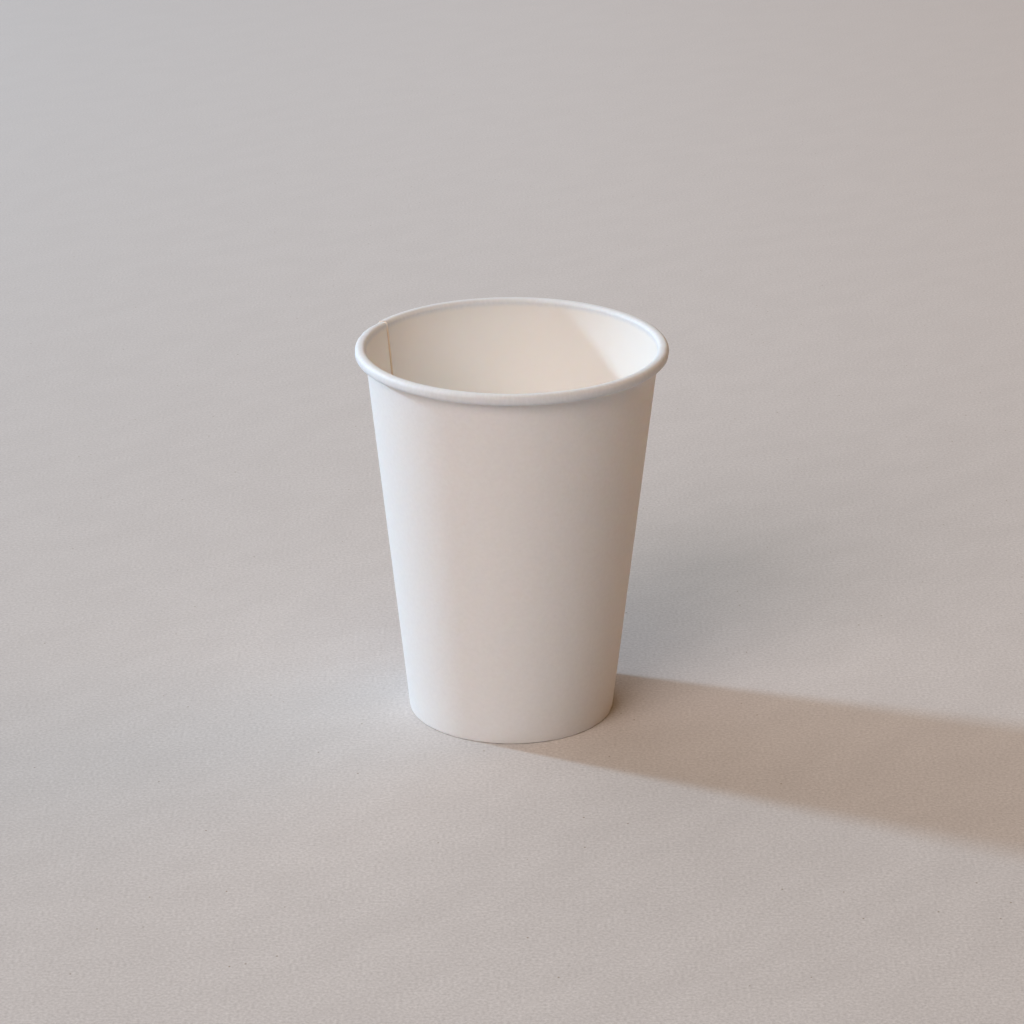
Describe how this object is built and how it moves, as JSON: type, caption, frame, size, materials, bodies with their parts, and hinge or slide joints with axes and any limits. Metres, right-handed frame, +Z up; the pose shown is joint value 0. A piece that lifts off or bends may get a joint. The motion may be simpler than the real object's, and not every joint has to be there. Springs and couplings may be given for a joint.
{
  "type": "paper coffee cup",
  "caption": "Tapered paper cup for a hot drink, with a rolled brim, a lapped side seam and a bottom disc held in the folded foot. Open at the top.",
  "frame": {"origin": "on the table, under the middle of the cup", "axes": "+Z up along the cup's axis, out of its mouth; the picture looks along +Y with +X to the right, and the side seam is at the back left"},
  "size_m": [0.09, 0.09, 0.112],
  "materials": {
    "coated_board": "white paperboard: matte and uncoated outside, smooth with a thin coating inside and over the brim, pale brown at its cut edges",
    "bottom_board": "white paperboard, thinner than the wall's, smooth and coated above and matte below"
  },
  "bodies": {
    "root": {"side_wall": "coated_board", "bottom_disc": "bottom_board"}
  },
  "joints": []
}
